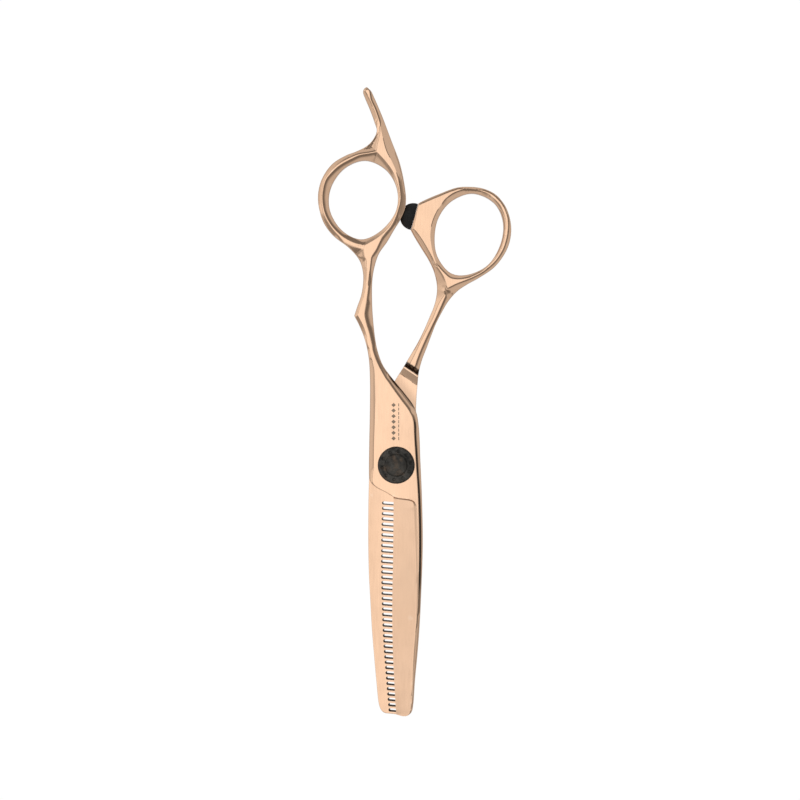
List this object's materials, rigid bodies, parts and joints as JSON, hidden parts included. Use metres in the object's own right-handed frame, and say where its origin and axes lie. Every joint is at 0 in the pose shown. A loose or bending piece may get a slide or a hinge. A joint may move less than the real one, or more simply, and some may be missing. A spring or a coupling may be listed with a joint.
{
  "type": "hair thinning shears",
  "caption": "Offset-handle hair shears with one straight blade, one toothed thinning blade, finger rest, rubber bumper and tension dial.",
  "frame": {"origin": "on the pivot axis, in the plane that the shears lie on: the outer face of the pivot bolt's head", "axes": "+Z along the pivot axis towards the dial, +Y along the shears towards the finger rest, blades along -Y, thumb ring towards +X"},
  "size_m": [0.0521, 0.1697, 0.0068],
  "materials": {
    "rose_gold_steel": "polished steel with a rose-gold coating",
    "pivot_steel": "turned bright steel",
    "spring_steel": "tempered spring steel",
    "bearing_bronze": "plain bearing bronze",
    "glide_polymer": "natural low-friction polymer",
    "dial_black": "black anodised, satin",
    "bumper_rubber": "moulded black rubber"
  },
  "bodies": {
    "straight_half": {"straight_blade_half": "rose_gold_steel", "pivot_bolt": "pivot_steel", "spring_washer": "spring_steel", "click_plate": "pivot_steel", "retaining_screw": "pivot_steel"},
    "toothed_half": {"toothed_blade_half": "rose_gold_steel", "bumper": "bumper_rubber", "bumper_pin": "pivot_steel", "back_washer": "bearing_bronze", "pivot_bushing": "bearing_bronze", "glide_washer": "glide_polymer"},
    "dial_assembly": {"dial": "dial_black", "dial_cap": "dial_black", "click_spring": "spring_steel"}
  },
  "joints": [
    {"name": "blades_open", "type": "hinge", "parent": "straight_half", "child": "toothed_half", "pos_m": [0, 0, 0.0025], "axis": [0, 0, -1], "range_deg": [0, 120]},
    {"name": "dial_turn", "type": "hinge", "parent": "straight_half", "child": "dial_assembly", "pos_m": [0, 0, 0.0055], "axis": [0, 0, 1], "range_deg": [-90, 90]}
  ]
}
